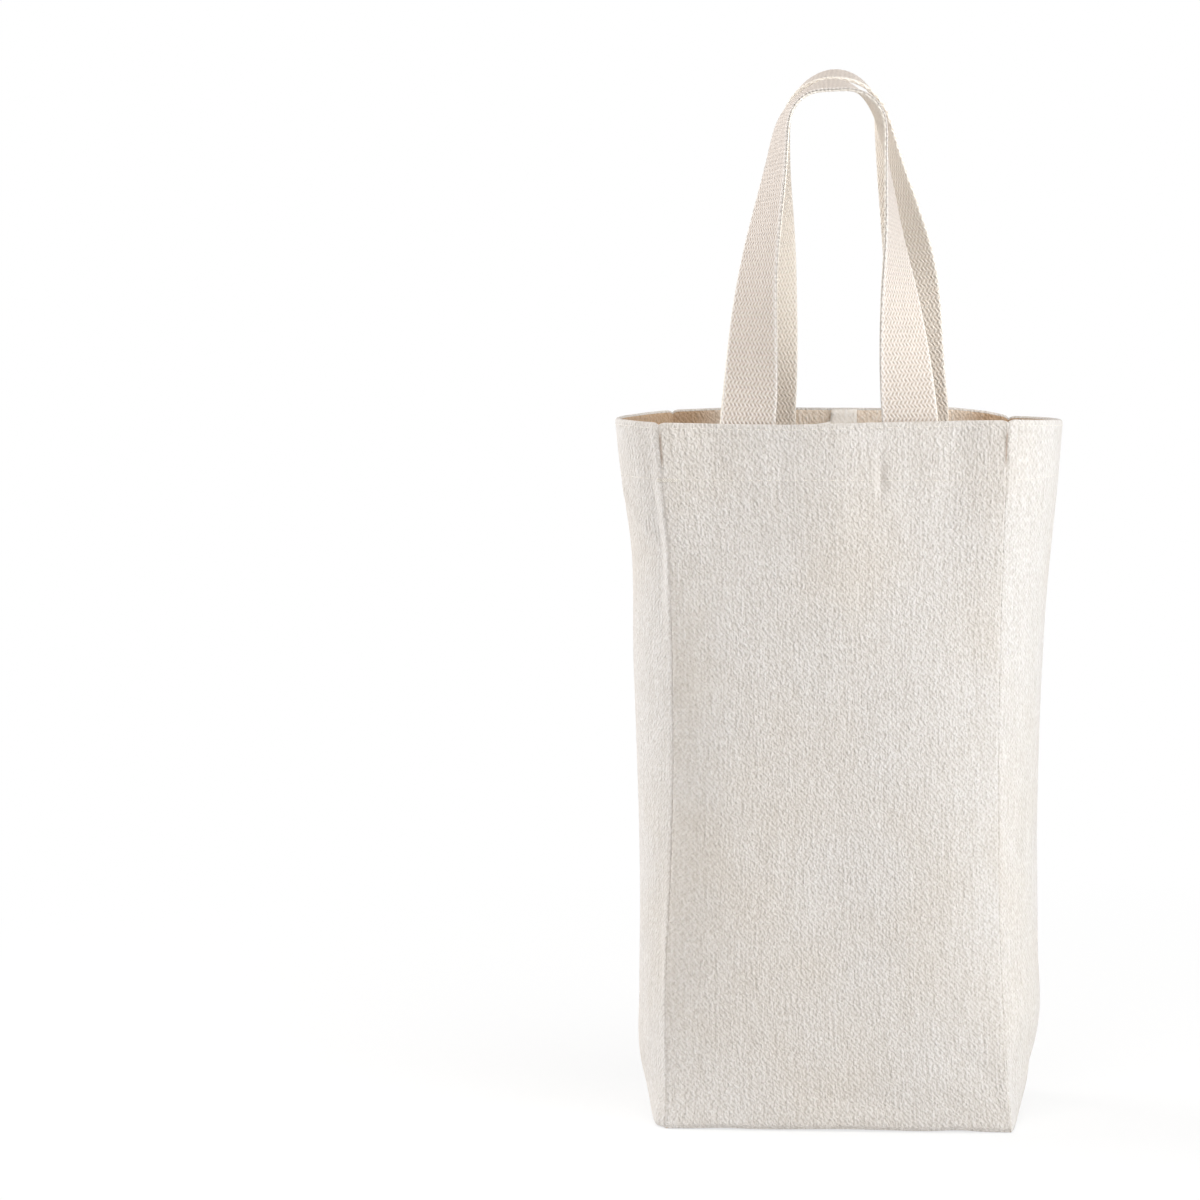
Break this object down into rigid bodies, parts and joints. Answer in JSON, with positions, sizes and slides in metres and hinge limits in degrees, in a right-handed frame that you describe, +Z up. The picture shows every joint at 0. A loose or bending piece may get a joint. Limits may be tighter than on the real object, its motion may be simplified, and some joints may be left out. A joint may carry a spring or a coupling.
{
  "type": "bottle carrier",
  "caption": "Gusseted canvas carrier bag for wine bottles, open at the top, with a centre divider and webbing loop handles that fold over the rim.",
  "frame": {"origin": "on the floor under the middle of the base", "axes": "+X to the right seen from the front, +Y to the back, +Z up towards the handles"},
  "size_m": [0.2068, 0.1126, 0.4801],
  "materials": {
    "canvas": "natural undyed cotton canvas, plain weave, matte",
    "webbing": "natural cotton webbing, coarse herringbone weave, matte",
    "thread": "off-white sewing thread, matte"
  },
  "bodies": {
    "bag": {"front_panel": "canvas", "back_panel": "canvas", "left_gusset": "canvas", "right_gusset": "canvas", "base_panel": "canvas", "divider": "canvas", "front_handle_left_end": "webbing", "front_handle_right_end": "webbing", "back_handle_left_end": "webbing", "back_handle_right_end": "webbing", "rim_stitching": "thread", "hem_stitching": "thread", "front_left_seam_thread": "thread", "front_right_seam_thread": "thread", "back_left_seam_thread": "thread", "back_right_seam_thread": "thread", "base_seam_thread": "thread", "front_handle_stitching": "thread", "back_handle_stitching": "thread", "divider_stitching": "thread"},
    "front_handle": {"front_handle": "webbing"},
    "back_handle": {"back_handle": "webbing"}
  },
  "joints": [
    {"name": "front_handle_fold", "type": "hinge", "parent": "bag", "child": "front_handle", "pos_m": [0, -0.04256, 0.3206], "axis": [1, 0, 0], "range_deg": [0, 165]},
    {"name": "back_handle_fold", "type": "hinge", "parent": "bag", "child": "back_handle", "pos_m": [0, 0.04256, 0.3206], "axis": [-1, 0, 0], "range_deg": [0, 165]}
  ]
}
